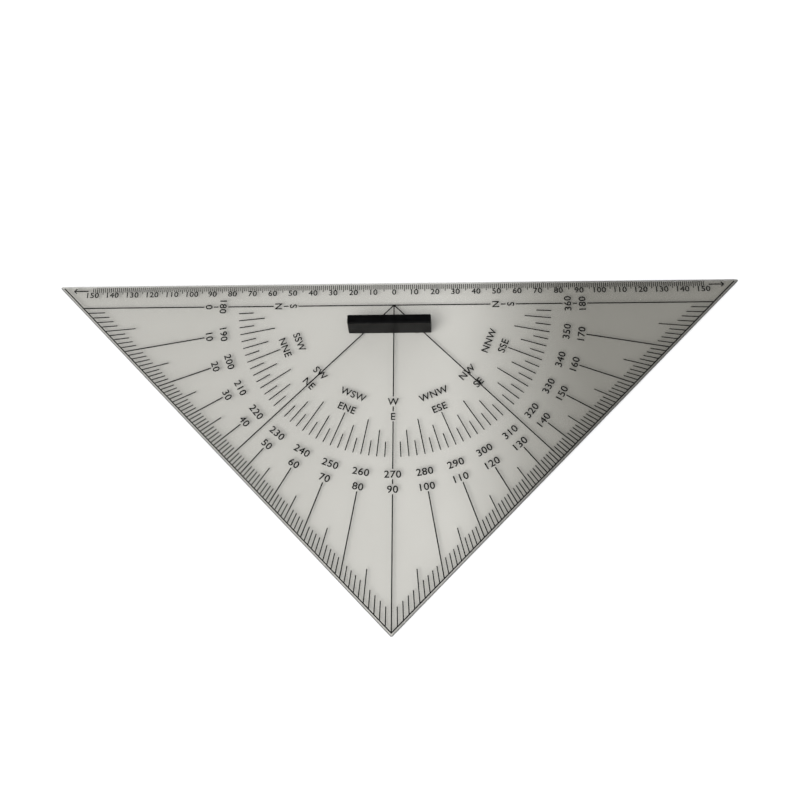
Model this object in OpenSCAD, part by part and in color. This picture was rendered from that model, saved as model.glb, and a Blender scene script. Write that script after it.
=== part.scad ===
// Navigation triangle: a clear acrylic set square with a printed course
// protractor, a compass rose, a ruler along its long edge and a lift-off handle.
// Frame: the triangle lies flat, +Z up. The origin is the protractor's centre on
// the underside. +X runs along the long edge, and the right angle points to -Y.
// Angles of the protractor count from the left end of the base line.

/* [Plate] */
// Length of the long edge
hypotenuse = 336; // [320:1:360]
// Distance from the long edge to the base line of the protractor
base_inset = 12.3; // [11.8:0.1:16]
// Thickness of the acrylic sheet
sheet_t = 2.5; // [2:0.1:4]
// Radius of the three corners
corner_r = 0.8; // [0.5:0.1:2.5]
// Width of the bevel along the long edge
ruling_bevel_w = 1.3; // [0.8:0.1:1.8]
// Depth of the bevel along the long edge
ruling_bevel_h = 1.1; // [0.4:0.1:1.5]
// Width of the bevel along the two legs
leg_bevel_w = 0.8; // [0.5:0.1:1.8]
// Depth of the bevel along the two legs
leg_bevel_h = 0.8; // [0.3:0.1:1.4]

/* [Print] */
// Thickness of the printed ink
ink_t = 0.04; // [0.02:0.01:0.06]
// Width of the long lines of the protractor
line_w = 0.55; // [0.2:0.05:0.7]
// Width of the degree and compass ticks
tick_w = 0.5; // [0.15:0.05:0.6]
// Width of the ruler's ticks
ruler_tick_w = 0.35; // [0.1:0.05:0.5]
// Width of the pen strokes of numerals and letters
pen_w = 0.5; // [0.2:0.05:0.6]

/* [Degree scale] */
// Clear margin between a leg's bevel and the border line where the ticks end
border_gap = 0.5; // [0.4:0.1:1.2]
// Distance from a leg's edge to the inner end of a one-degree tick
degree_tick_inset = 7.4; // [5:0.1:9]
// Distance from a leg's edge to the inner end of a five-degree tick
five_degree_inset = 12.7; // [9.5:0.1:15]
// Least distance from a leg's edge to the ring of numerals 0 to 180
course_ring_inset = 17.4; // [15:0.1:20]
// Gap between the two rings of numerals
numeral_row_gap = 3.7; // [2.5:0.1:5]
// Height of the ring numerals
degree_text_h = 3.3; // [2.5:0.1:3.6]

/* [Compass rose] */
// Gap between the inner ring of numerals and the compass ticks
rose_gap = 6.3; // [3:0.1:8]
// Length of a quarter-point tick
quarter_tick = 7.2; // [4:0.1:9]
// Length of a half-point tick
half_tick = 12.6; // [9.5:0.1:14]
// Length of a whole-point tick
point_tick = 17; // [14.5:0.1:19]
// Gap between a whole-point tick and the ring of letters N to S by way of E
letter_ring_gap = 0.8; // [0.5:0.1:2]
// Gap between the two rings of letters
letter_row_gap = 3.9; // [2.5:0.1:5]
// Height of the compass letters
compass_text_h = 3.4; // [2.5:0.1:3.8]

/* [Ruler] */
// Clear margin between the long edge's bevel and the ruler's ticks
ruler_gap = 0.1; // [0.05:0.05:0.5]
// Length of a one-millimetre tick
mm_tick = 2.5; // [1.5:0.1:2.7]
// Length of a five-millimetre tick
five_mm_tick = 3.5; // [2.8:0.1:4]
// Length of a ten-millimetre tick
cm_tick = 2.2; // [2:0.1:2.8]
// Gap between a ten-millimetre tick and its number
number_gap = 0.4; // [0.25:0.05:0.8]
// Height of the ruler's numbers
ruler_text_h = 2.8; // [2:0.1:3]
// Distance from the start of the ruler's ticks down to the arrows
arrow_drop = 1.6; // [1.5:0.1:2.5]
// Length of the arrow past each end of the ruler
arrow_len = 7; // [4:0.5:7.5]
// Gap between the ruler's last tick and the arrow
arrow_gap = 2.5; // [1.5:0.5:4]

/* [Handle] */
// Length of the handle along the long edge, at its foot
grip_l = 40; // [34:0.5:60]
// Thickness of the handle at its foot
grip_w = 5; // [4.8:0.1:10]
// Height of the handle
grip_h = 12; // [8:0.5:20]
// How much narrower the handle's top is than its foot
grip_draft = 0.6; // [0:0.1:1.5]
// Radius of the handle's top edges
grip_edge_r = 0.7; // [0.3:0.1:1.2]
// Sideways place of the handle's middle, a little left of the 90 degree line
grip_x = -1.8; // [-3:0.1:3]
// Distance from the base line down to the handle's middle
grip_drop = 12.2; // [10:0.1:22]
// Distance between the two pegs
peg_pitch = 26; // [20:0.5:28]
// Radius of a peg where it sits in the plate
peg_r = 2; // [1.6:0.05:2.2]
// Radial clearance of a peg in the plate
peg_clear = 0.05; // [0.02:0.01:0.1]
// Gap between a peg's tip and the underside
peg_tip_gap = 0.3; // [0.1:0.05:0.6]
// Radius of a peg's spigot inside the handle
spigot_r = 1.5; // [1.1:0.05:1.5]
// Length of a peg's spigot inside the handle
spigot_l = 6; // [3:0.5:7]
// Width of the slot that lets a peg spring
peg_slot_w = 0.8; // [0.4:0.1:1]

/* [Hidden] */

$fn = 48;
eps = 0.01;

// The handle's foot rests on the printed lines that pass under it
foot_z = sheet_t + ink_t;

half = hypotenuse / 2;
// Distance along X or -Y from the origin to a leg
reach = half - base_inset;
leg_normal = reach / sqrt(2);

course_ring_r = leg_normal - course_ring_inset - degree_text_h / 2;
reciprocal_ring_r = course_ring_r - degree_text_h - numeral_row_gap;
compass_r = reciprocal_ring_r - degree_text_h / 2 - rose_gap;
east_ring_r = compass_r - point_tick - letter_ring_gap - compass_text_h / 2;
west_ring_r = east_ring_r - compass_text_h - letter_row_gap;

peg_bore_r = peg_r + peg_clear;
peg_x = [grip_x - peg_pitch / 2, grip_x + peg_pitch / 2];
spigot_clear = 0.02;
peg_tip_chamfer = 0.4;
// Clear ring that the print leaves round each peg hole
hole_margin = 0.5;

label_margin = 0.75;
arrow_head = 1.2;
// Signs are drawn on a grid with this count of rows, and the gap between two signs
// is a ratio of their height
sign_rows = 6;
digit_gap_ratio = 0.27;
letter_gap_ratio = 0.37;

quarter_point_count = 128;
quarter_point_angle = 360 / quarter_point_count;
degree_step = 10;
letter_angle = 22.5;
// The course lines take the place of compass ticks at every multiple of this angle
course_line_angle = 45;

east_names = ["N", "NNE", "NE", "ENE", "E", "ESE", "SE", "SSE", "S"];
west_names = ["S", "SSW", "SW", "WSW", "W", "WNW", "NW", "NNW", "N"];

border_inset = leg_bevel_w + border_gap;
border_reach = reach - border_inset * sqrt(2);
ruler_top = base_inset - ruling_bevel_w - ruler_gap;
arrow_y = ruler_top - arrow_drop;
// Numbered centimetres on each side that leave room for the arrow before the border
ruler_cm = floor((border_reach + arrow_y - arrow_head - line_w
                  - arrow_len - arrow_gap) / 10);
number_y = ruler_top - cm_tick - number_gap - ruler_text_h / 2;

plate_colour = [0.78, 0.77, 0.74, 0.55];
ink_colour = [0.05, 0.05, 0.05];
grip_colour = [0.09, 0.09, 0.1];

function unit(v) = v / norm(v);
function left_of(v) = [-v[1], v[0]];
function ray_point(theta, r) = [-cos(theta) * r, -sin(theta) * r];
// Radius on the ray at theta of the point that lies inset from a leg's edge
function leg_radius(theta, inset) =
    (reach - inset * sqrt(2)) / (abs(cos(theta)) + abs(sin(theta)));

// Centre of a corner's rounding, from the corner, its two neighbours and the radius
function round_centre(corner, a, b) =
    let (u = unit(a - corner), v = unit(b - corner), m = unit(u + v))
    corner + m * corner_r / abs(u[0] * m[1] - u[1] * m[0]);
// Foot of the perpendicular from point p to the line through a and b
function foot(p, a, b) = a + unit(b - a) * ((p - a) * unit(b - a));

corners = [[-half, base_inset], [0, -reach], [half, base_inset]];

module outline() {
    centres = [for (i = [0:2])
        round_centre(corners[i], corners[(i + 1) % 3], corners[(i + 2) % 3])];
    polygon([for (i = [0:2]) each [
        foot(centres[i], corners[(i + 2) % 3], corners[i]),
        foot(centres[i], corners[i], corners[(i + 1) % 3])]]);
    for (c = centres) translate(c) circle(corner_r);
}

// A wedge that cuts a bevel along the edge whose outward normal has this angle
module edge_wedge(normal_angle, distance, w, h) {
    rotate([0, 0, normal_angle]) translate([distance, 0, sheet_t]) rotate([90, 0, 0])
        linear_extrude(hypotenuse * 1.1, center = true)
            polygon([[1, -h * (1 + 1 / w)], [1, 1], [-w * (1 + 1 / h), 1]]);
}

module peg_places(clear_r) {
    for (x = peg_x) translate([x, -grip_drop]) circle(clear_r);
}

// One straight pen stroke through the points p, as a closed band of width w
module pen(p, w) {
    n = len(p);
    closed = n > 3 && p[0] == p[n - 1];
    m = closed ? n - 1 : n;
    function before(i) = closed || i > 0 ? p[(i + m - 1) % m] : p[0] * 2 - p[1];
    function after(i) = closed || i < m - 1 ? p[(i + 1) % m] : p[m - 1] * 2 - p[m - 2];
    function shift(i) =
        let (n1 = left_of(unit(p[i] - before(i))), n2 = left_of(unit(after(i) - p[i])))
        (n1 + n2) * (w / 2) / (1 + n1 * n2);
    left = [for (i = [0:m - 1]) p[i] + shift(i)];
    right = [for (i = [0:m - 1]) p[i] - shift(i)];
    if (closed) difference() {
        polygon(left);
        polygon(right);
    } else
        polygon([each left, for (i = [m - 1:-1:0]) right[i]]);
}

// Pen strokes of each sign on its grid. Round signs have cut corners, and closed
// loops run clockwise, so that the left side of the stroke is outside.
small_o = [[1, 0], [0, 1], [0, 2.5], [1, 3.5], [3, 3.5], [4, 2.5], [4, 1], [3, 0], [1, 0]];
function turned(p) = [for (q = p) [4 - q[0], 6 - q[1]]];
function signs(c) =
    c == "0" ? [[[1, 0], [0, 1], [0, 5], [1, 6], [3, 6], [4, 5], [4, 1], [3, 0], [1, 0]]] :
    c == "1" ? [[[0.8, 4.6], [2.2, 6], [2.2, 0]]] :
    c == "2" ? [[[0, 4.6], [0, 5], [1, 6], [3, 6], [4, 5], [4, 4], [0, 0.25], [4.2, 0.25]]] :
    c == "3" ? [[[0, 5], [1, 6], [3, 6], [4, 5], [4, 4.2], [3, 3.2], [4, 2.2],
                 [4, 1], [3, 0], [1, 0], [0, 1]], [[1.4, 3.2], [3.1, 3.2]]] :
    c == "4" ? [[[3.1, 0], [3.1, 6]], [[3.1, 6], [0, 1.7], [4.3, 1.7]]] :
    c == "5" ? [[[3.8, 6], [0.5, 6], [0.3, 3.4], [3, 3.4], [4, 2.5], [4, 1], [3, 0],
                 [1, 0], [0, 0.9]]] :
    c == "6" ? [small_o, [[3.6, 5.9], [2.4, 5.8], [0.6, 4.2], [0, 2.3]]] :
    c == "7" ? [[[0, 6], [4, 6], [1.4, 0]]] :
    c == "8" ? [[[1, 0], [0, 0.9], [0, 2.4], [1, 3.2], [3, 3.2], [4, 2.4], [4, 0.9],
                 [3, 0], [1, 0]],
                [[1, 3.2], [0.3, 4], [0.3, 5.2], [1, 6], [3, 6], [3.7, 5.2],
                 [3.7, 4], [3, 3.2], [1, 3.2]]] :
    c == "9" ? [turned(small_o), turned([[3.6, 5.9], [2.4, 5.8], [0.6, 4.2], [0, 2.3]])] :
    c == "N" ? [[[0, 0], [0, 6]], [[0, 6], [4.4, 0]], [[4.4, 0], [4.4, 6]]] :
    c == "E" ? [[[4.2, 6], [0, 6], [0, 0], [4.2, 0]], [[0, 3.1], [3.6, 3.1]]] :
    c == "S" ? [[[4, 5], [3, 6], [1, 6], [0, 5], [0, 4.2], [1, 3.3], [3, 2.9],
                 [4, 2], [4, 1], [3, 0], [1, 0], [0, 1]]] :
    c == "W" ? [[[0, 6], [1.6, 0]], [[1.6, 0], [3.3, 5.6]], [[3.3, 5.6], [5, 0]],
                [[5, 0], [6.6, 6]]] :
    [];
function sign_w(c) = c == "W" ? 6.6 : c == "N" ? 4.4 : c == "E" ? 4.2 : 4;

// A word centred on the origin, h high over its strokes, reading along +X
module word(t, h, gap_ratio) {
    n = len(t);
    k = (h - pen_w) / sign_rows;
    gap = gap_ratio * sign_rows;
    starts = [for (i = 0, x = 0; i < n; x = x + sign_w(t[i]) + gap, i = i + 1) x];
    middle = [(starts[n - 1] + sign_w(t[n - 1])) / 2, sign_rows / 2];
    for (i = [0:n - 1]) for (s = signs(t[i]))
        pen([for (q = s) k * (q + [starts[i], 0] - middle)], pen_w);
}

// Words on a ring, their tops towards the centre
module ring_of_words(words, r, h, gap_ratio, step) {
    for (i = [0:len(words) - 1])
        translate(ray_point(i * step, r)) rotate(i * step - 90)
            word(words[i], h, gap_ratio);
}

module radial(theta, r0, r1, w) {
    rotate(180 + theta) translate([r0, -w / 2]) square([r1 - r0, w]);
}

// A ray broken where it crosses labels, whose ring radii and heights are given
module broken_ray(theta, stops, r_end) {
    starts = [0, for (s = stops) s[0] + s[1] / 2 + label_margin];
    ends = [for (s = stops) s[0] - s[1] / 2 - label_margin, r_end];
    for (i = [0:len(starts) - 1])
        if (ends[i] - starts[i] > line_w) radial(theta, starts[i], ends[i], line_w);
}

label_stops = [[west_ring_r, compass_text_h], [east_ring_r, compass_text_h],
               [reciprocal_ring_r, degree_text_h], [course_ring_r, degree_text_h]];

module printed() {
    color(ink_colour) translate([0, 0, sheet_t]) linear_extrude(ink_t) children();
}

module plate() {
    color(plate_colour) difference() {
        linear_extrude(sheet_t) outline();
        edge_wedge(90, base_inset, ruling_bevel_w, ruling_bevel_h);
        for (a = [-45, -135]) edge_wedge(a, leg_normal, leg_bevel_w, leg_bevel_h);
        for (x = peg_x) translate([x, -grip_drop, -1])
            cylinder(h = sheet_t + 2, r = peg_bore_r);
    }
}

// The border line along both legs, where rays and degree ticks end
module border_shape() {
    x = border_reach + ruler_top;
    pen([[-x, ruler_top], [0, -border_reach], [x, ruler_top]], line_w);
}

module border_lines() { printed() border_shape(); }

module printed_to_border() {
    printed() difference() {
        union() children();
        border_shape();
    }
}

module base_shape() {
    for (theta = [0, 180])
        broken_ray(theta, label_stops, leg_radius(theta, border_inset));
}

module base_line() { printed_to_border() base_shape(); }

module east_words() {
    ring_of_words(east_names, east_ring_r, compass_text_h, letter_gap_ratio, letter_angle);
}

module west_words() {
    ring_of_words(west_names, west_ring_r, compass_text_h, letter_gap_ratio, letter_angle);
}

// The rays at 45, 90 and 135 degrees, which start at the base line. They give way to
// the letters that they cross and to the peg holes.
module course_lines() {
    printed_to_border() difference() {
        union() {
            for (theta = [course_line_angle, 180 - course_line_angle])
                broken_ray(theta, [], leg_radius(theta, border_inset));
            broken_ray(90, label_stops, leg_radius(90, border_inset));
        }
        base_shape();
        east_words();
        west_words();
        peg_places(peg_bore_r + hole_margin);
    }
}

module degree_rays() {
    printed_to_border() for (theta = [10:degree_step:170]) if (theta != 90)
        radial(theta, course_ring_r + degree_text_h / 2 + label_margin,
               leg_radius(theta, border_inset), line_w);
}

module five_degree_ticks() {
    printed_to_border() for (theta = [5:degree_step:175])
        if (theta % course_line_angle != 0)
            radial(theta, leg_radius(theta, five_degree_inset),
                   leg_radius(theta, border_inset), tick_w);
}

module degree_ticks() {
    printed_to_border() for (theta = [1:179]) if (theta % 5 != 0)
        radial(theta, leg_radius(theta, degree_tick_inset),
               leg_radius(theta, border_inset), tick_w);
}

module course_numerals() {
    printed() ring_of_words([for (a = [0:degree_step:180]) str(a)],
                            course_ring_r, degree_text_h, digit_gap_ratio, degree_step);
}

module reciprocal_numerals() {
    printed() ring_of_words([for (a = [180:degree_step:360]) str(a)],
                            reciprocal_ring_r, degree_text_h, digit_gap_ratio,
                            degree_step);
}

// Compass ticks that fall on every span-th quarter point, from the first one given
module compass_ticks(first, span, length) {
    printed() for (k = [first:span:quarter_point_count / 2 - 1]) {
        theta = k * quarter_point_angle;
        if (theta % course_line_angle != 0)
            radial(theta, compass_r - length, compass_r, tick_w);
    }
}

module point_ticks() { compass_ticks(first = 4, span = 4, length = point_tick); }
module half_point_ticks() { compass_ticks(first = 2, span = 4, length = half_tick); }
module quarter_point_ticks() {
    compass_ticks(first = 1, span = 2, length = quarter_tick);
}

module east_letters() { printed() east_words(); }
module west_letters() { printed() west_words(); }

module ruler_tick(x, length) {
    translate([x - ruler_tick_w / 2, ruler_top - length]) square([ruler_tick_w, length]);
}

module centimetre_ticks() {
    printed() for (i = [-ruler_cm * 2:ruler_cm * 2])
        ruler_tick(i * 5, i % 2 == 0 ? cm_tick : five_mm_tick);
}

module millimetre_ticks() {
    printed() for (i = [-ruler_cm * 10:ruler_cm * 10]) if (i % 5 != 0)
        ruler_tick(i, mm_tick);
}

module ruler_numbers() {
    printed() for (i = [-ruler_cm:ruler_cm])
        translate([i * 10, number_y]) word(str(abs(i) * 10), ruler_text_h, digit_gap_ratio);
}

module ruler_arrows() {
    start = ruler_cm * 10 + arrow_gap;
    tip = start + arrow_len;
    printed() for (side = [-1, 1]) {
        pen([[side * start, arrow_y], [side * (tip - line_w), arrow_y]], line_w);
        pen([[side * (tip - arrow_head), arrow_y + arrow_head], [side * tip, arrow_y],
             [side * (tip - arrow_head), arrow_y - arrow_head]], line_w);
    }
}

// A drafted bar's end or front view, with rounded top corners
module drafted(w) {
    slope = atan(grip_draft / 2 / grip_h);
    r = grip_edge_r;
    cy = grip_h - r;
    cx = w / 2 - cy * tan(slope) - r / cos(slope);
    side = [cx + r * cos(slope), cy + r * sin(slope)];
    polygon([[-w / 2, 0], [w / 2, 0], side, [cx, grip_h], [-cx, grip_h],
             [-side[0], side[1]]]);
    for (x = [-cx, cx]) translate([x, cy]) circle(r);
}

module grip_bar() {
    color(grip_colour) translate([grip_x, -grip_drop, foot_z]) difference() {
        intersection() {
            rotate([90, 0, 0]) linear_extrude(grip_w * 2, center = true) drafted(grip_l);
            rotate([90, 0, 90]) linear_extrude(grip_l * 2, center = true) drafted(grip_w);
        }
        for (s = [-1, 1]) translate([s * peg_pitch / 2, 0, -1])
            cylinder(h = spigot_l + spigot_clear + 1, r = spigot_r + spigot_clear);
    }
}

// A split peg: its spigot is held in the handle, its shank sits in the plate
module peg(x) {
    shank_z = peg_tip_gap + peg_tip_chamfer;
    color(grip_colour) translate([x, -grip_drop, 0]) difference() {
        union() {
            translate([0, 0, peg_tip_gap])
                cylinder(h = peg_tip_chamfer, r1 = peg_r - peg_tip_chamfer, r2 = peg_r);
            translate([0, 0, shank_z]) cylinder(h = foot_z - shank_z, r = peg_r);
            translate([0, 0, foot_z - eps]) cylinder(h = spigot_l + eps, r = spigot_r);
        }
        translate([-peg_slot_w / 2, -peg_r - 1, peg_tip_gap - 1])
            cube([peg_slot_w, 2 * peg_r + 2, foot_z - peg_tip_gap]);
    }
}

module left_peg() { peg(peg_x[0]); }
module right_peg() { peg(peg_x[1]); }

plate();
border_lines();
base_line();
course_lines();
degree_rays();
five_degree_ticks();
degree_ticks();
course_numerals();
reciprocal_numerals();
point_ticks();
half_point_ticks();
quarter_point_ticks();
east_letters();
west_letters();
centimetre_ticks();
millimetre_ticks();
ruler_numbers();
ruler_arrows();
grip_bar();
left_peg();
right_peg();
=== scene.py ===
"""Navigation triangle: tinted acrylic sheet, printed scales and a black bar handle."""

from math import cos, pi, radians, sin, sqrt

import bmesh
import bpy
from mathutils import Matrix, Vector

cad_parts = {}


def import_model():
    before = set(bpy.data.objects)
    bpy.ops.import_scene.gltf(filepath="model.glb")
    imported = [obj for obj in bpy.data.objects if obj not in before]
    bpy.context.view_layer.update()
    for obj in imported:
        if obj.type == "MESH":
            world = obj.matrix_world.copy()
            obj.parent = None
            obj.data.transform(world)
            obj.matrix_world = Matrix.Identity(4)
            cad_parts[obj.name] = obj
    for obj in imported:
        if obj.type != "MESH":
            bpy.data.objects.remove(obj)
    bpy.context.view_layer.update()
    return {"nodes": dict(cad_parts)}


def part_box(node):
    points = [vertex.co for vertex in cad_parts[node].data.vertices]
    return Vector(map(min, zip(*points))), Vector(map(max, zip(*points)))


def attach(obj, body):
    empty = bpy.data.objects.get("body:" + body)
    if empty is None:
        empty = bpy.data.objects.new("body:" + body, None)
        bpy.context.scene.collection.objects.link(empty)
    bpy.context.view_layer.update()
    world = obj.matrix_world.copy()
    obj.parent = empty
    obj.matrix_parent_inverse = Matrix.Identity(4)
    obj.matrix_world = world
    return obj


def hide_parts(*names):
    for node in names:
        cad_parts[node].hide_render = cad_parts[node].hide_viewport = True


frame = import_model()

MM = 0.001
CM = 10 * MM

# Sizes that the frame gives
plate_low, plate_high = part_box("plate")
ink_base = plate_high.z
ink_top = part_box("base_line")[1].z
ink_t = ink_top - ink_base
ink_middle = ink_base + ink_t / 2
ruler_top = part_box("millimetre_ticks")[1].y
number_low, number_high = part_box("ruler_numbers")
number_y = (number_low.y + number_high.y) / 2
ruler_cm = round(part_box("centimetre_ticks")[1].x / CM)
ruler_start = -ruler_cm * CM
bar_low, bar_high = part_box("grip_bar")

# Sizes of the plate and of the degree scale
corner_r = 0.8 * MM
reach = -plate_low.y + corner_r * (sqrt(2) - 1)
leg_normal = reach / sqrt(2)
border_inset = 1.3 * MM
degree_tick_inset = 7.4 * MM
five_degree_inset = 12.7 * MM
course_ring_inset = 17.4 * MM
numeral_row_gap = 3.7 * MM
degree_text_h = 3.3 * MM
degree = radians(1)
half_turn = 180
figure_step = 10

# Sizes of the compass rose
rose_gap = 6.3 * MM
quarter_tick = 7.2 * MM
half_tick = 12.6 * MM
point_tick = 17 * MM
letter_ring_gap = 0.8 * MM
letter_row_gap = 3.9 * MM
compass_text_h = 3.4 * MM
quarter_points = 128
quarter_point = radians(360 / quarter_points)
letter_step = 8 * quarter_point

# Sizes of the ruler
mm_tick = 2.5 * MM
five_mm_tick = 3.5 * MM
cm_tick = 2.2 * MM
ruler_text_h = 2.8 * MM

# Widths of the print, and how far its edges slope in
line_w = 0.55 * MM
tick_w = 0.5 * MM
ruler_tick_w = 0.35 * MM
ink_slope = 0.015 * MM
label_margin = 0.75 * MM
hole_margin = 0.5 * MM
peg_clear = 0.05 * MM

# The font at size 1: how much bolder its strokes are, how many times that a sharp corner
# may move, how much wider its figures are, the space between its signs, the steps of
# its curves and the distance at which two points are one
bolder = 0.013
most_bolder = 2.0
figure_stretch = 1.1
sign_spacing = 1.06
sign_steps = 5
sign_weld = 1e-5

# Sizes of the handle, and the small roundings of pegs and plate
bar_draft = 0.6 * MM
bar_top_r = 0.7 * MM
bar_corner_r = 0.6 * MM
bar_foot_r = 0.15 * MM
socket_r = 1.52 * MM
socket_depth = 6.02 * MM
socket_sides = 48
peg_edge_r = 0.12 * MM
plate_edge_r = 0.1 * MM

# Points closer than weld are one point. An edge that turns less than flat_edge goes, one
# that turns more than rounded_edge is rounded, and a turn over sharp_edge stays sharp.
weld = 0.0005 * MM
flat_edge = radians(0.2)
rounded_edge = radians(28)
sharp_edge = radians(35)

# Colours, each with the other colour that it clouds into
PALE_TINT = (0.792, 0.784, 0.755, 1), (0.774, 0.766, 0.737, 1)
# The smoky tint is painted shade, mixed in to darken the sheet to the right and a little to
# the left
PAINTED_SHADE_TINT = (0.505, 0.497, 0.469, 1), (0.495, 0.487, 0.459, 1)
INK_BLACK = (0.002, 0.002, 0.002, 1), (0.005, 0.005, 0.005, 1)
HANDLE_BLACK = (0.0018, 0.0018, 0.0019, 1), (0.0034, 0.0034, 0.0036, 1)
FLOOR_WHITE = (0.9, 0.9, 0.9, 1), (0.885, 0.885, 0.885, 1)
ROOM_WHITE = (0.97, 0.98, 1.0, 1)

# Painted shade: where along the sheet the tint is darkened to the right and to the left,
# and how far on the left
painted_shade_right_span = 20 * MM, 100 * MM
painted_shade_left_span = 10 * MM, -100 * MM
painted_left_share = 0.25

# Painted shade on the milled bevels and sawn edges: how much it darkens them, and how much
# more at the foot of a bevel, which lies between these depths under the sheet's face
edge_painted_shade, foot_painted_shade = 0.8, 0.1
foot_depths = 0.2 * MM, 0.5 * MM

# How high the finest bumps of sheet, ink and handle are
relief = 0.004 * MM

# Light of the room, of its backdrop and of the dark flag over the sheet, then of the
# key light and of the soft glow that mirrors it
room_light = 0.9
backdrop_light = 1.05
flag_light = 0.04
flag_core, flag_edge = radians(25), radians(42)
flag_toward = (-0.04, 0.3, 0.95)
key_light = 1.95
key_spread = radians(36)
key_from = (-0.6, -0.7, 1.6)
glow_light = 0.7
glow_core, glow_edge = radians(4), radians(34)

# The floor: half its width, and how far it lies under the sheet
floor_half = 30.0
floor_drop = 0.05 * MM

# The photograph's view: where the camera is, its own axes and its lens
camera_place = (0.0176, -0.1646, 0.36494)
camera_right = (0.9993, 0.0055, -0.0381)
camera_back = (0.0379, -0.3046, 0.9517)
camera_lens, camera_sensor = 36.5, 36
camera_nearest = 10 * MM

course_ring_r = leg_normal - course_ring_inset - degree_text_h / 2
reciprocal_ring_r = course_ring_r - degree_text_h - numeral_row_gap
compass_r = reciprocal_ring_r - degree_text_h / 2 - rose_gap
east_ring_r = compass_r - point_tick - letter_ring_gap - compass_text_h / 2
west_ring_r = east_ring_r - compass_text_h - letter_row_gap

EAST_NAMES = ["N", "NNE", "NE", "ENE", "E", "ESE", "SE", "SSE", "S"]
WEST_NAMES = ["S", "SSW", "SW", "WSW", "W", "WNW", "NW", "NNW", "N"]
PEGS = ("left_peg", "right_peg")


# Nodes

def add_node(tree, kind, **settings):
    """A node of this kind. Settings name its properties."""
    node = tree.nodes.new(kind)
    for key, value in settings.items():
        setattr(node, key, value)
    return node


def feed(tree, socket, value):
    """Joins an output to the socket, or sets the socket to a plain value."""
    if isinstance(value, bpy.types.NodeSocket):
        tree.links.new(value, socket)
    else:
        socket.default_value = value


def maths(tree, operation, *values):
    """The result of one Math node."""
    node = add_node(tree, "ShaderNodeMath", operation=operation)
    for socket, value in zip(node.inputs, values):
        feed(tree, socket, value)
    return node.outputs[0]


def vector(tree, x=0.0, y=0.0, z=0.0):
    """A vector of three values."""
    node = add_node(tree, "ShaderNodeCombineXYZ")
    for socket, value in zip(node.inputs, (x, y, z)):
        feed(tree, socket, value)
    return node.outputs[0]


def parts(tree, source):
    """The X, Y and Z of a vector."""
    node = add_node(tree, "ShaderNodeSeparateXYZ")
    tree.links.new(source, node.inputs[0])
    return node.outputs


def ramp(tree, value, low, high, to_low=0.0, to_high=1.0, kind="LINEAR"):
    """Maps value from low..high to to_low..to_high and holds it at the ends."""
    node = add_node(tree, "ShaderNodeMapRange", interpolation_type=kind)
    sockets = ("Value", "From Min", "From Max", "To Min", "To Max")
    for socket, given in zip(sockets, (value, low, high, to_low, to_high)):
        feed(tree, node.inputs[socket], given)
    return node.outputs[0]


def between(tree, mask, none, full):
    """A value that goes from none to full as a mask goes from 0 to 1."""
    return ramp(tree, mask, 0.0, 1.0, none, full)


def mixed(tree, factor, a, b, blend="MIX"):
    """A mix of two colours."""
    node = add_node(tree, "ShaderNodeMix", data_type="RGBA", blend_type=blend)
    for socket, given in zip(("Factor", "A", "B"), (factor, a, b)):
        feed(tree, node.inputs[socket], given)
    return node.outputs["Result"]


def noise(tree, place, scale, detail=2.0, stretch=(1, 1, 1)):
    """Soft noise from 0 to 1 at a place, finer as the scale grows."""
    mapping = add_node(tree, "ShaderNodeMapping")
    feed(tree, mapping.inputs["Vector"], place)
    mapping.inputs["Scale"].default_value = stretch
    texture = add_node(tree, "ShaderNodeTexNoise")
    tree.links.new(mapping.outputs[0], texture.inputs["Vector"])
    feed(tree, texture.inputs["Scale"], scale)
    texture.inputs["Detail"].default_value = detail
    return texture.outputs["Fac"]


# Shader groups for effects that several materials share

def new_group(name, inputs, outputs):
    """A shader group with these sockets, its input node and its output node."""
    tree = bpy.data.node_groups.new(name, "ShaderNodeTree")
    for label, kind, value in inputs:
        socket = tree.interface.new_socket(label, in_out="INPUT", socket_type=kind)
        socket.default_value = value
    for label, kind in outputs:
        tree.interface.new_socket(label, in_out="OUTPUT", socket_type=kind)
    source = tree.nodes.new("NodeGroupInput")
    sink = tree.nodes.new("NodeGroupOutput")
    return tree, source.outputs, sink.inputs


def scratch_group():
    """Hair-fine straight scratches in two directions, as slid plastic gets."""
    tree, given, made = new_group(
        "hair scratches",
        [("Vector", "NodeSocketVector", (0, 0, 0)), ("Scale", "NodeSocketFloat", 900.0),
         ("Amount", "NodeSocketFloat", 0.5)],
        [("Mask", "NodeSocketFloat")])
    sets = []
    for turn, squeeze in ((0.35, 0.012), (-1.1, 0.02)):
        mapping = add_node(tree, "ShaderNodeMapping")
        mapping.inputs["Rotation"].default_value = (0, 0, turn)
        tree.links.new(given["Vector"], mapping.inputs["Vector"])
        sets.append(noise(tree, mapping.outputs[0], given["Scale"], detail=1.0,
                          stretch=(1, squeeze, squeeze)))
    lines = maths(tree, "MAXIMUM", *sets)
    patches = ramp(tree, noise(tree, given["Vector"], scale=45.0), low=0.45, high=0.7)
    lines = maths(tree, "MULTIPLY", ramp(tree, lines, low=0.68, high=0.8), patches)
    feed(tree, made["Mask"], maths(tree, "MULTIPLY", lines, given["Amount"]))
    return tree


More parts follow.
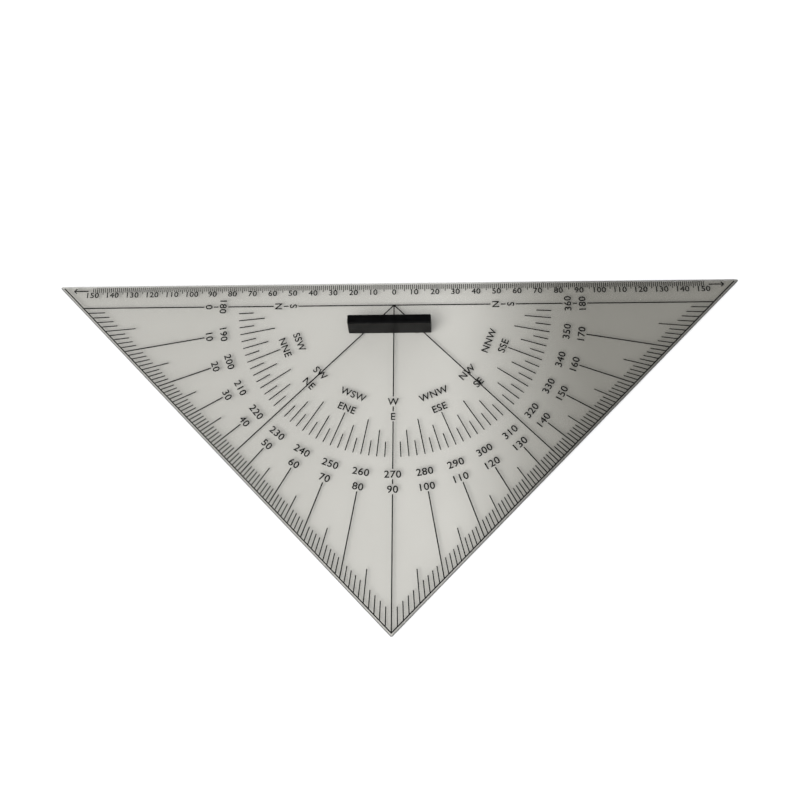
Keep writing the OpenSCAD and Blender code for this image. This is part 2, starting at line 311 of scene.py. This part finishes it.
def speck_group():
    """Scattered round specks, for dust on the sheet and pinholes in the ink."""
    tree, given, made = new_group(
        "specks",
        [("Vector", "NodeSocketVector", (0, 0, 0)), ("Scale", "NodeSocketFloat", 300.0),
         ("Radius", "NodeSocketFloat", 0.1), ("Share", "NodeSocketFloat", 0.3)],
        [("Mask", "NodeSocketFloat")])
    cells = add_node(tree, "ShaderNodeTexVoronoi", feature="F1")
    tree.links.new(given["Vector"], cells.inputs["Vector"])
    tree.links.new(given["Scale"], cells.inputs["Scale"])
    shape = maths(tree, "LESS_THAN", cells.outputs["Distance"], given["Radius"])
    pick = add_node(tree, "ShaderNodeSeparateColor")
    tree.links.new(cells.outputs["Color"], pick.inputs[0])
    chosen = maths(tree, "LESS_THAN", pick.outputs["Red"], given["Share"])
    feed(tree, made["Mask"], maths(tree, "MULTIPLY", shape, chosen))
    return tree


def mottle_group():
    """A blend of two colours in soft clouds, for tints that are never quite even."""
    tree, given, made = new_group(
        "mottle",
        [("Vector", "NodeSocketVector", (0, 0, 0)), ("Scale", "NodeSocketFloat", 60.0),
         ("Main", "NodeSocketColor", (1, 1, 1, 1)),
         ("Other", "NodeSocketColor", (0.9, 0.9, 0.9, 1))],
        [("Color", "NodeSocketColor"), ("Mask", "NodeSocketFloat")])
    clouds = noise(tree, given["Vector"], given["Scale"], detail=3.0)
    mask = ramp(tree, clouds, low=0.3, high=0.7)
    feed(tree, made["Color"], mixed(tree, mask, given["Main"], given["Other"]))
    feed(tree, made["Mask"], mask)
    return tree


SCRATCHES = scratch_group()
SPECKS = speck_group()
MOTTLE = mottle_group()


# Materials

def new_material(name):
    """A material, its tree, its Principled shader and its texture coordinates."""
    material = bpy.data.materials.new(name)
    material.use_nodes = True
    tree = material.node_tree
    shader = tree.nodes["Principled BSDF"]
    coordinates = tree.nodes.new("ShaderNodeTexCoord").outputs
    return material, tree, shader, coordinates


def effect(tree, group, **values):
    """One of the shader groups in a material, with its values."""
    node = add_node(tree, "ShaderNodeGroup", node_tree=group)
    for label, value in values.items():
        feed(tree, node.inputs[label], value)
    return node.outputs


def clouded(tree, place, scale, colours):
    """A colour that clouds into another, and the mask of its clouds."""
    main, other = colours
    return effect(tree, MOTTLE, Vector=place, Scale=scale, Main=main, Other=other)


def bump(tree, shader, height, strength):
    """A Bump node that turns a height into the shader's normal."""
    node = add_node(tree, "ShaderNodeBump")
    feed(tree, node.inputs["Height"], height)
    node.inputs["Distance"].default_value = relief
    node.inputs["Strength"].default_value = strength
    tree.links.new(node.outputs[0], shader.inputs["Normal"])


def tint_with_painted_shade(tree, place):
    """The smoky beige of the sheet with painted shade, darker to the right and a little to
    the left, and the mask of the painted shade on the right.
    """
    along = parts(tree, place)["X"]
    # Painted shade: the sheet darkens to the right, and a little to the left
    painted_right_shade = ramp(tree, along, *painted_shade_right_span, kind="SMOOTHSTEP")
    painted_left_shade = ramp(tree, along, *painted_shade_left_span, to_high=painted_left_share)
    tint_and_painted_shade = mixed(tree, maths(tree, "MAXIMUM", painted_right_shade, painted_left_shade),
                 clouded(tree, place, 14.0, PALE_TINT)["Color"],
                 clouded(tree, place, 22.0, PAINTED_SHADE_TINT)["Color"])
    return tint_and_painted_shade, painted_right_shade


def painted_edge_shade(tree, coordinates, tint_and_painted_shade, painted_right_shade):
    """The tint with painted shade on milled bevels and sawn edges, darkest at a bevel's
    foot.

    The long edge stays free of this painted shade up to where the sheet's painted shade
    deepens.
    """
    height = parts(tree, coordinates["Object"])["Z"]
    facing = parts(tree, coordinates["Normal"])
    # From 1 on the flat faces to 0 on the sawn edges, with the bevels between
    upright = maths(tree, "ABSOLUTE", facing["Z"])
    long_edge = ramp(tree, facing["Y"], low=0.3, high=0.6)
    # Painted edge shade, left off the long edge where the sheet's painted shade is light
    clear = maths(tree, "MULTIPLY", long_edge, maths(tree, "SUBTRACT", 1.0, painted_right_shade))
    edge_shade_mask = maths(tree, "MULTIPLY", ramp(tree, upright, low=0.97, high=0.9),
                   maths(tree, "SUBTRACT", 1.0, clear))
    # The painted shade is darkest at a bevel's foot, as a painted dark line
    foot = ramp(tree, height, *(plate_high.z - depth for depth in foot_depths))
    sloping = ramp(tree, upright, low=0.3, high=0.6)
    edge_shade = between(tree, maths(tree, "MULTIPLY", foot, sloping), edge_painted_shade, foot_painted_shade)
    return mixed(tree, edge_shade_mask, tint_and_painted_shade, edge_shade, blend="MULTIPLY")


def lets_light_through(tree, shader, tint_and_painted_shade):
    """Light reaches the floor under the sheet unbent, with half the tint and its painted
    shade at each face.

    A ray that has been mirrored once inside passes straight out, so that edges are clear.
    """
    half = add_node(tree, "ShaderNodeGamma")
    tree.links.new(tint_and_painted_shade, half.inputs["Color"])
    half.inputs["Gamma"].default_value = 0.5
    unbent = add_node(tree, "ShaderNodeBsdfTransparent")
    tree.links.new(half.outputs[0], unbent.inputs["Color"])
    path = add_node(tree, "ShaderNodeLightPath")
    look = shader.outputs[0]
    for ray in ("Is Reflection Ray", "Is Shadow Ray"):
        mix = add_node(tree, "ShaderNodeMixShader")
        tree.links.new(path.outputs[ray], mix.inputs["Fac"])
        tree.links.new(look, mix.inputs[1])
        tree.links.new(unbent.outputs[0], mix.inputs[2])
        look = mix.outputs[0]
    tree.links.new(look, tree.nodes["Material Output"].inputs["Surface"])


def clear_acrylic():
    """Polished tinted sheet with painted shade to the right and on its edges, fine
    scratches, dust and a slight waviness.
    """
    material, tree, shader, coordinates = new_material("clear acrylic")
    place = coordinates["Object"]
    # Painted shade darkens the sheet to the right and a little to the left, and on its
    # edges
    tint_and_painted_shade, painted_right_shade = tint_with_painted_shade(tree, place)
    tint_and_painted_shade = painted_edge_shade(tree, coordinates, tint_and_painted_shade, painted_right_shade)
    scratch = effect(tree, SCRATCHES, Vector=place, Scale=2600.0, Amount=0.5)["Mask"]
    dust = effect(tree, SPECKS, Vector=place, Scale=420.0, Radius=0.06, Share=0.06)["Mask"]
    marks = maths(tree, "MAXIMUM", scratch, dust)
    tree.links.new(tint_and_painted_shade, shader.inputs["Base Color"])
    feed(tree, shader.inputs["Roughness"], between(tree, marks, 0.03, 0.45))
    shader.inputs["IOR"].default_value = 1.49
    shader.inputs["Transmission Weight"].default_value = 1.0
    waves = noise(tree, place, scale=55.0, detail=1.0)
    bump(tree, shader, maths(tree, "SUBTRACT", waves, scratch), strength=0.6)
    lets_light_through(tree, shader, tint_and_painted_shade)
    return material


def black_ink():
    """Satin screen ink with the mesh's faint print and a few pinholes."""
    material, tree, shader, coordinates = new_material("black ink")
    place = coordinates["Object"]
    film = clouded(tree, place, 500.0, INK_BLACK)
    pinholes = effect(tree, SPECKS, Vector=place, Scale=4200.0, Radius=0.16,
                      Share=0.03)["Mask"]
    tree.links.new(film["Color"], shader.inputs["Base Color"])
    feed(tree, shader.inputs["Roughness"], between(tree, film["Mask"], 0.42, 0.58))
    shader.inputs["Specular IOR Level"].default_value = 0.2
    weave = noise(tree, place, scale=9000.0, detail=1.0)
    bump(tree, shader, maths(tree, "SUBTRACT", weave, pinholes), strength=0.5)
    return material


def black_plastic():
    """Moulded black plastic, smooth but not polished, with rubbed patches."""
    material, tree, shader, coordinates = new_material("black plastic")
    place = coordinates["Object"]
    skin = clouded(tree, place, 260.0, HANDLE_BLACK)
    rubs = effect(tree, SCRATCHES, Vector=place, Scale=5200.0, Amount=0.5)["Mask"]
    tree.links.new(skin["Color"], shader.inputs["Base Color"])
    smooth = between(tree, skin["Mask"], 0.3, 0.38)
    feed(tree, shader.inputs["Roughness"], maths(tree, "ADD", smooth,
                                                 maths(tree, "MULTIPLY", rubs, 0.15)))
    shader.inputs["Specular IOR Level"].default_value = 0.07
    grain = noise(tree, place, scale=5200.0)
    bump(tree, shader, maths(tree, "MULTIPLY_ADD", rubs, -0.5, grain), strength=0.5)
    return material


ACRYLIC = clear_acrylic()
INK = black_ink()
PLASTIC = black_plastic()


# Meshes

def add_object(name, data):
    """A new object in the scene."""
    piece = bpy.data.objects.new(name, data)
    bpy.context.scene.collection.objects.link(piece)
    return piece


def mesh_object(name, mesh, material):
    """A new object with this mesh and material."""
    piece = add_object(name, mesh)
    mesh.materials.clear()
    mesh.materials.append(material)
    return piece


def from_shape(name, shape, material):
    """A new object with the mesh of this bmesh, which is freed."""
    mesh = bpy.data.meshes.new(name)
    shape.to_mesh(mesh)
    shape.free()
    return mesh_object(name, mesh, material)


def evaluated_mesh(piece):
    """What a piece's modifiers or its text make, as a plain mesh."""
    graph = bpy.context.evaluated_depsgraph_get()
    return bpy.data.meshes.new_from_object(piece.evaluated_get(graph))


def applied(piece):
    """Turns a piece's modifiers into a plain mesh."""
    mesh = evaluated_mesh(piece)
    piece.modifiers.clear()
    piece.data = mesh
    return piece


def baked(piece):
    """A plain mesh that is smooth round its small edges and flat on its big faces."""
    applied(piece)
    for face in piece.data.polygons:
        face.use_smooth = True
    piece.data.set_sharp_from_angle(angle=sharp_edge)
    normals = piece.modifiers.new("normals", "WEIGHTED_NORMAL")
    normals.keep_sharp = True
    return applied(piece)


def merged_copy(name, node, material):
    """A CAD node's shape as one closed mesh, its flat faces whole again."""
    shape = bmesh.new()
    shape.from_mesh(frame["nodes"][node].data)
    bmesh.ops.remove_doubles(shape, verts=shape.verts, dist=weld)
    bmesh.ops.dissolve_limit(shape, angle_limit=flat_edge, verts=shape.verts,
                             edges=shape.edges)
    return from_shape(name, shape, material)


def bevelled(piece, width, segments):
    """Rounds a piece's edges."""
    modifier = piece.modifiers.new("edges", "BEVEL")
    modifier.width = width
    modifier.segments = segments
    modifier.limit_method = "ANGLE"
    modifier.angle_limit = rounded_edge
    return baked(piece)


def rounded_edges(shape, edges, radius, segments):
    """Rounds these edges of a bmesh."""
    bmesh.ops.bevel(shape, geom=edges, offset=radius, segments=segments, profile=0.5,
                    affect="EDGES")


def handle_bar():
    """The drafted bar with rounded edges and the two sockets for its pegs."""
    inset = bar_draft / 2
    corners = [(bar_low.x, bar_low.y), (bar_high.x, bar_low.y),
               (bar_high.x, bar_high.y), (bar_low.x, bar_high.y)]
    middle = (bar_low + bar_high) / 2
    shape = bmesh.new()
    foot = [shape.verts.new((x, y, bar_low.z)) for x, y in corners]
    top = [shape.verts.new((x - inset * (1 if x > middle.x else -1),
                            y - inset * (1 if y > middle.y else -1), bar_high.z))
           for x, y in corners]
    shape.faces.new(foot[::-1])
    shape.faces.new(top)
    for i in range(4):
        j = (i + 1) % 4
        shape.faces.new((foot[i], foot[j], top[j], top[i]))
    uprights = [e for e in shape.edges if abs(e.verts[0].co.z - e.verts[1].co.z) > MM]
    rounded_edges(shape, uprights, bar_corner_r, segments=6)
    for level, radius, segments in ((bar_high.z, bar_top_r, 7), (bar_low.z, bar_foot_r, 3)):
        rim = [e for e in shape.edges if all(abs(v.co.z - level) < weld for v in e.verts)]
        rounded_edges(shape, rim, radius, segments)
    bmesh.ops.recalc_face_normals(shape, faces=shape.faces)
    bar = from_shape("handle_bar", shape, PLASTIC)
    for peg in PEGS:
        cut_socket(bar, peg)
    return baked(bar)


def cut_socket(bar, peg):
    """Bores the socket of one peg up into the bar, from a millimetre below it."""
    low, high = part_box(peg)
    start = bar_low.z - MM
    end = bar_low.z + socket_depth
    place = Matrix.Translation(((low.x + high.x) / 2, (low.y + high.y) / 2,
                                (start + end) / 2))
    shape = bmesh.new()
    bmesh.ops.create_cone(shape, cap_ends=True, segments=socket_sides, radius1=socket_r,
                          radius2=socket_r, depth=end - start, matrix=place)
    tool = from_shape("socket", shape, PLASTIC)
    modifier = bar.modifiers.new("socket", "BOOLEAN")
    modifier.operation = "DIFFERENCE"
    modifier.solver = "EXACT"
    modifier.object = tool
    applied(bar)
    bpy.data.objects.remove(tool)


# Printed words

def bolder_strokes(mesh):
    """Moves the outlines of a flat shape outwards, and those of its holes inwards."""
    shape = bmesh.new()
    shape.from_mesh(mesh)
    bmesh.ops.remove_doubles(shape, verts=shape.verts, dist=sign_weld)
    moves = {}
    for vert in shape.verts:
        sides = []
        for edge in vert.link_edges:
            if edge.is_boundary:
                a, b = (v.co for v in edge.verts)
                side = Vector((b.y - a.y, a.x - b.x, 0)).normalized()
                inner = edge.link_faces[0].calc_center_median() - a
                sides.append(-side if side.dot(inner) > 0 else side)
        if sides:
            middle = sum(sides, Vector()).normalized()
            moves[vert] = middle * bolder / max(middle.dot(sides[0]), 1 / most_bolder)
    for vert, move in moves.items():
        vert.co += move
    shape.to_mesh(mesh)
    shape.free()


def word_mesh(text):
    """The text as a flat shape at font size 1, before it is scaled."""
    curve = bpy.data.curves.new("word", "FONT")
    curve.body = text
    curve.space_character = sign_spacing
    curve.resolution_u = sign_steps
    source = add_object("word", curve)
    mesh = evaluated_mesh(source)
    bpy.data.objects.remove(source)
    bpy.data.curves.remove(curve)
    bolder_strokes(mesh)
    return mesh


def corners_of(mesh):
    """Lowest and highest corner of a mesh."""
    points = [v.co for v in mesh.vertices]
    return (Vector(min(p[i] for p in points) for i in range(3)),
            Vector(max(p[i] for p in points) for i in range(3)))


def cap_height():
    """Height of a flat capital at font size 1."""
    mesh = word_mesh("E")
    low, high = corners_of(mesh)
    bpy.data.meshes.remove(mesh)
    return high.y - low.y


CAP_HEIGHT = cap_height()


def words_piece(name, node, words, stretch=1.0):
    """One layer of printed words. Each is (text, height, x, y, turn)."""
    layer = bmesh.new()
    for text, height, x, y, turn in words:
        mesh = word_mesh(text)
        low, high = corners_of(mesh)
        k = height / CAP_HEIGHT
        centre = Vector(((low.x + high.x) / 2, CAP_HEIGHT / 2, 0))
        place = (Matrix.Translation((x, y, ink_base)) @ Matrix.Rotation(turn, 4, "Z")
                 @ Matrix.Diagonal((k * stretch, k, k, 1)) @ Matrix.Translation(-centre))
        mesh.transform(place)
        layer.from_mesh(mesh)
        bpy.data.meshes.remove(mesh)
    bmesh.ops.remove_doubles(layer, verts=layer.verts, dist=weld)
    for face in layer.faces:
        if face.normal.z > 0:
            face.normal_flip()
    raised = bmesh.ops.extrude_face_region(layer, geom=layer.faces)["geom"]
    tops = [v for v in raised if isinstance(v, bmesh.types.BMVert)]
    bmesh.ops.translate(layer, verts=tops, vec=(0, 0, ink_t))
    bmesh.ops.recalc_face_normals(layer, faces=layer.faces)
    return printed(from_shape(name, layer, INK), node)


def ring_of_words(name, node, texts, radius, height, step, stretch=1.0):
    """Words on a ring from the left end of the base line, their tops to the centre."""
    words = [(text, height, -radius * cos(i * step), -radius * sin(i * step),
              i * step - pi / 2) for i, text in enumerate(texts)]
    return words_piece(name, node, words, stretch)


def ring_of_figures(name, node, first, radius):
    """The figures of half a turn in degrees, counted from first."""
    texts = [str(first + turned) for turned in range(0, half_turn + 1, figure_step)]
    return ring_of_words(name, node, texts, radius, degree_text_h, figure_step * degree,
                         figure_stretch)


def printed(piece, node):
    """A printed layer rides on the sheet and stands for its CAD node."""
    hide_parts(node)
    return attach(piece, "triangle")


# Ticks, which Geometry Nodes make

def switched(tree, kind, switch, off, on):
    """The value off or on, as the switch stands."""
    node = add_node(tree, "GeometryNodeSwitch", input_type=kind)
    for socket, given in zip(("Switch", "False", "True"), (switch, off, on)):
        feed(tree, node.inputs[socket], given)
    return node.outputs[0]


def tick_bar(tree, given):
    """An ink bar one unit long that slopes in at its sides."""
    line = add_node(tree, "GeometryNodeCurvePrimitiveLine")
    line.inputs["End"].default_value = (1, 0, 0)
    section = add_node(tree, "GeometryNodeCurvePrimitiveQuadrilateral", mode="TRAPEZOID")
    narrow = maths(tree, "MULTIPLY_ADD", given["Slope"], -2, given["Width"])
    feed(tree, section.inputs["Height"], given["Thickness"])
    feed(tree, section.inputs["Bottom Width"], given["Width"])
    feed(tree, section.inputs["Top Width"], narrow)
    section.inputs["Offset"].default_value = 0
    bar = add_node(tree, "GeometryNodeCurveToMesh")
    bar.inputs["Fill Caps"].default_value = True
    feed(tree, bar.inputs["Curve"], line.outputs[0])
    feed(tree, bar.inputs["Profile Curve"], section.outputs[0])
    return bar.outputs[0]


def tick_tree():
    """Ink ticks in a fan or, with Straight, in the ruler's row.

    Inner and Outer are the ends of a tick: radii on its ray, heights on the ruler or,
    with Along Legs, what leg_end gives. Every Skip Every-th tick is left out.
    """
    tree = bpy.data.node_groups.new("ink ticks", "GeometryNodeTree")
    tree.is_modifier = True
    tree.interface.new_socket("Geometry", in_out="INPUT", socket_type="NodeSocketGeometry")
    sizes = [("Count", "NodeSocketInt"), ("First", "NodeSocketFloat"),
             ("Step", "NodeSocketFloat"), ("Skip Every", "NodeSocketInt"),
             ("Skip Offset", "NodeSocketInt"), ("Along Legs", "NodeSocketBool"),
             ("Straight", "NodeSocketBool"), ("Inner", "NodeSocketFloat"),
             ("Outer", "NodeSocketFloat"), ("Width", "NodeSocketFloat"),
             ("Slope", "NodeSocketFloat"), ("Thickness", "NodeSocketFloat"),
             ("Base", "NodeSocketFloat"), ("Material", "NodeSocketMaterial")]
    for label, kind in sizes:
        tree.interface.new_socket(label, in_out="INPUT", socket_type=kind)
    tree.interface.new_socket("Geometry", in_out="OUTPUT", socket_type="NodeSocketGeometry")
    given = tree.nodes.new("NodeGroupInput").outputs
    sink = tree.nodes.new("NodeGroupOutput").inputs

    # Where each tick starts and ends, and which way it points
    index = add_node(tree, "GeometryNodeInputIndex").outputs[0]
    along = maths(tree, "MULTIPLY_ADD", index, given["Step"], given["First"])
    angle = maths(tree, "ADD", along, pi)
    x_share = maths(tree, "COSINE", angle)
    y_share = maths(tree, "SINE", angle)
    spread = maths(tree, "ADD", maths(tree, "ABSOLUTE", x_share),
                   maths(tree, "ABSOLUTE", y_share))
    start, end = [switched(tree, "FLOAT", given["Along Legs"], given[label],
                           maths(tree, "DIVIDE", given[label], spread))
                  for label in ("Inner", "Outer")]
    spoke = vector(tree, maths(tree, "MULTIPLY", x_share, start),
                   maths(tree, "MULTIPLY", y_share, start), given["Base"])
    post = vector(tree, along, start, given["Base"])
    foot = switched(tree, "VECTOR", given["Straight"], spoke, post)
    heading = switched(tree, "FLOAT", given["Straight"], angle, pi / 2)
    length = maths(tree, "SUBTRACT", end, start)

    # Which ticks are kept
    number = maths(tree, "ADD", index, given["Skip Offset"])
    left = maths(tree, "FLOORED_MODULO", number, given["Skip Every"])
    kept = add_node(tree, "FunctionNodeCompare", operation="GREATER_THAN")
    feed(tree, kept.inputs[0], left)
    feed(tree, kept.inputs[1], 0.5)

    points = add_node(tree, "GeometryNodePoints")
    feed(tree, points.inputs["Count"], given["Count"])
    feed(tree, points.inputs["Position"], foot)
    copies = add_node(tree, "GeometryNodeInstanceOnPoints")
    feed(tree, copies.inputs["Points"], points.outputs[0])
    feed(tree, copies.inputs["Selection"], kept.outputs[0])
    feed(tree, copies.inputs["Instance"], tick_bar(tree, given))
    feed(tree, copies.inputs["Rotation"], vector(tree, z=heading))
    feed(tree, copies.inputs["Scale"], vector(tree, length, 1.0, 1.0))
    real = add_node(tree, "GeometryNodeRealizeInstances")
    feed(tree, real.inputs[0], copies.outputs[0])
    dressed = add_node(tree, "GeometryNodeSetMaterial")
    feed(tree, dressed.inputs["Geometry"], real.outputs[0])
    feed(tree, dressed.inputs["Material"], given["Material"])
    feed(tree, sink[0], dressed.outputs[0])
    return tree


TICKS = tick_tree()
# What a layer of ticks has unless it says otherwise. None has 1000 ticks, so all are kept
TICK_SIZES = {"skip_every": 1000, "skip_offset": 1, "along_legs": False, "straight": False,
              "slope": ink_slope, "thickness": ink_t, "base": ink_middle, "material": INK}


def ticks_piece(name, node, **sizes):
    """One layer of ticks. Sizes are the tree's inputs in small letters."""
    mesh = bpy.data.meshes.new(name)
    piece = mesh_object(name, mesh, INK)
    modifier = piece.modifiers.new("ticks", "NODES")
    modifier.node_group = TICKS
    sizes = TICK_SIZES | sizes
    for socket in TICKS.interface.items_tree:
        label = socket.name.lower().replace(" ", "_")
        if socket.in_out == "INPUT" and label in sizes:
            modifier[socket.identifier] = sizes[label]
    piece.update_tag()
    bpy.context.view_layer.update()
    return printed(baked(piece), node)


def leg_end(inset):
    """What a leg's inset leaves of the reach, before it is shared out over a ray."""
    return reach - inset * sqrt(2)


def leg_layer(name, node, inset, **sizes):
    """Degree ticks that run from an inset up to the border line."""
    return ticks_piece(name, node, inner=leg_end(inset), outer=leg_end(border_inset),
                       width=tick_w, along_legs=True, **sizes)


def rose_layer(name, node, length, first, span):
    """Compass ticks on every span-th quarter point, but for the course lines."""
    count = (quarter_points // 2 - first + span - 1) // span
    skips = {"skip_every": quarter_points // 8 // span} if first == span else {}
    return ticks_piece(name, node, count=count, first=first * quarter_point,
                       step=span * quarter_point, inner=compass_r - length,
                       outer=compass_r, width=tick_w, **skips)


def ruler_layer(name, node, first, step, length, **sizes):
    """Ruler ticks from first to its mirror image, hung from the ruler's top line."""
    return ticks_piece(name, node, count=round(-2 * first / step) + 1, first=first,
                       step=step, inner=ruler_top - length, outer=ruler_top,
                       width=ruler_tick_w, straight=True, **sizes)


# Rays

def off_the_holes(theta, start, end):
    """The parts of a ray from start to end that stay off the peg holes."""
    along = Vector((-cos(theta), -sin(theta)))
    stops = [start]
    for peg in PEGS:
        low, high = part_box(peg)
        middle = ((low + high) / 2).to_2d()
        ring = (high.x - low.x) / 2 + peg_clear + hole_margin
        t = middle.dot(along)
        offset = (middle - along * t).length
        if offset < ring and start < t < end:
            chord = sqrt(ring ** 2 - offset ** 2)
            stops += [t - chord, t + chord]
    stops.append(end)
    return [(theta, a, b) for a, b in zip(stops[::2], stops[1::2])]


def course_rays():
    """The rays at 45, 90 and 135 degrees. The middle one stops at its labels."""
    rows = [(west_ring_r, compass_text_h), (east_ring_r, compass_text_h),
            (reciprocal_ring_r, degree_text_h), (course_ring_r, degree_text_h)]
    starts = [0] + [r + h / 2 + label_margin for r, h in rows]
    ends = [r - h / 2 - label_margin for r, h in rows] + [leg_end(border_inset)]
    strips = [(90 * degree, a, b) for a, b in zip(starts, ends) if b - a > line_w]
    diagonal = leg_end(border_inset) / sqrt(2)
    for turn in (45, 135):
        strips += off_the_holes(turn * degree, 0, diagonal)
    layer = bmesh.new()
    for theta, start, end in strips:
        box = bmesh.ops.create_cube(layer, size=1)["verts"]
        size = Matrix.Diagonal((end - start, line_w, ink_t, 1))
        place = (Matrix.Rotation(theta + pi, 4, "Z")
                 @ Matrix.Translation(((start + end) / 2, 0, ink_middle)))
        bmesh.ops.transform(layer, matrix=place @ size, verts=box)
    return printed(from_shape("course_rays", layer, INK), "course_lines")


# Camera, light and floor

def camera():
    """The photograph's view: from in front of the right angle, well above the sheet."""
    lens = bpy.data.cameras.new("camera")
    lens.lens = camera_lens
    lens.sensor_width = camera_sensor
    lens.clip_start = camera_nearest
    viewer = add_object("camera", lens)
    back = Vector(camera_back).normalized()
    up = back.cross(Vector(camera_right).normalized()).normalized()
    turn = Matrix((up.cross(back), up, back)).transposed().to_4x4()
    viewer.matrix_world = Matrix.Translation(camera_place) @ turn
    bpy.context.scene.camera = viewer


def floor():
    """A plain pale floor, a hair below the sheet."""
    corners = [(x * floor_half, y * floor_half, -floor_drop)
               for x, y in ((-1, -1), (1, -1), (1, 1), (-1, 1))]
    mesh = bpy.data.meshes.new("floor")
    mesh.from_pydata(corners, [], [(0, 1, 2, 3)])
    material, tree, shader, coordinates = new_material("pale floor")
    paper = clouded(tree, coordinates["Object"], 30.0, FLOOR_WHITE)
    tree.links.new(paper["Color"], shader.inputs["Base Color"])
    shader.inputs["Roughness"].default_value = 0.9
    shader.inputs["Specular IOR Level"].default_value = 0.1
    mesh_object("floor", mesh, material)


def key():
    """A wide soft light from the front left, as strong all over the floor.

    It isn't mirrored, so that no bright disc shows in the sheet.
    """
    light = bpy.data.lights.new("key", "SUN")
    light.energy = key_light
    light.angle = key_spread
    source = add_object("key", light)
    source.rotation_mode = "QUATERNION"
    source.rotation_quaternion = Vector(key_from).to_track_quat("Z", "Y")
    source.visible_glossy = False


def patch(tree, middle, core, edge, far, near):
    """Light of strength near within the core angle of a direction, far past the edge."""
    off_axis = add_node(tree, "ShaderNodeVectorMath", operation="DOT_PRODUCT")
    tree.links.new(tree.nodes.new("ShaderNodeTexCoord").outputs["Generated"],
                   off_axis.inputs[0])
    off_axis.inputs[1].default_value = Vector(middle).normalized()
    return ramp(tree, off_axis.outputs["Value"], cos(edge), cos(core), far, near)


def world():
    """Room light with a dark flag over the sheet, the key's soft glow and a backdrop."""
    sky = bpy.data.worlds.new("room")
    bpy.context.scene.world = sky
    sky.use_nodes = True
    tree = sky.node_tree
    background = tree.nodes["Background"]
    background.inputs["Color"].default_value = ROOM_WHITE
    room = patch(tree, flag_toward, flag_core, flag_edge, room_light, flag_light)
    glow = patch(tree, key_from, glow_core, glow_edge, 0.0, glow_light)
    path = add_node(tree, "ShaderNodeLightPath")
    seen = between(tree, path.outputs["Is Camera Ray"], maths(tree, "ADD", room, glow),
                   backdrop_light)
    tree.links.new(seen, background.inputs["Strength"])


# The pieces

plate = bevelled(merged_copy("acrylic_plate", "plate", ACRYLIC), plate_edge_r, segments=2)
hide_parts("plate")
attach(plate, "triangle")

bar = handle_bar()
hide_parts("grip_bar")
pegs = [bevelled(merged_copy(f"{node}_plug", node, PLASTIC), peg_edge_r, segments=3)
        for node in PEGS]
for peg, node in zip(pegs, PEGS):
    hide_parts(node)
for piece in [bar, *pegs]:
    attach(piece, "handle")

for node in ("border_lines", "base_line", "degree_rays", "ruler_arrows"):
    materials = frame["nodes"][node].data.materials
    materials.clear()
    materials.append(INK)

course_rays()
# Degree ticks leave out every fifth, and five-degree ticks those on the rays at 45 and 135
leg_layer("degree_marks", "degree_ticks", degree_tick_inset, count=half_turn - 1,
          first=degree, step=degree, skip_every=5)
leg_layer("five_degree_marks", "five_degree_ticks", five_degree_inset,
          count=half_turn // 10, first=5 * degree, step=10 * degree, skip_every=9,
          skip_offset=5)
rose_layer("point_marks", "point_ticks", point_tick, first=4, span=4)
rose_layer("half_point_marks", "half_point_ticks", half_tick, first=2, span=4)
rose_layer("quarter_point_marks", "quarter_point_ticks", quarter_tick, first=1, span=2)

# Millimetre ticks leave out every fifth, where the longer or numbered ticks are
ruler_layer("millimetre_marks", "millimetre_ticks", first=ruler_start, step=MM,
            length=mm_tick, skip_every=5, skip_offset=0)
ruler_layer("centimetre_marks", "centimetre_ticks", first=ruler_start, step=CM,
            length=cm_tick)
ruler_layer("five_millimetre_marks", "centimetre_ticks", first=ruler_start + CM / 2,
            step=CM, length=five_mm_tick)

ring_of_figures("course_figures", "course_numerals", 0, course_ring_r)
ring_of_figures("reciprocal_figures", "reciprocal_numerals", half_turn, reciprocal_ring_r)
ring_of_words("east_signs", "east_letters", EAST_NAMES, east_ring_r, compass_text_h,
              letter_step)
ring_of_words("west_signs", "west_letters", WEST_NAMES, west_ring_r, compass_text_h,
              letter_step)
# The ruler is numbered each way from its middle, in millimetres
words_piece("ruler_figures", "ruler_numbers",
            [(str(abs(i) * 10), ruler_text_h, i * CM, number_y, 0)
             for i in range(-ruler_cm, ruler_cm + 1)], figure_stretch)

camera()
floor()
world()
key()
bpy.context.scene.view_settings.view_transform = "Standard"
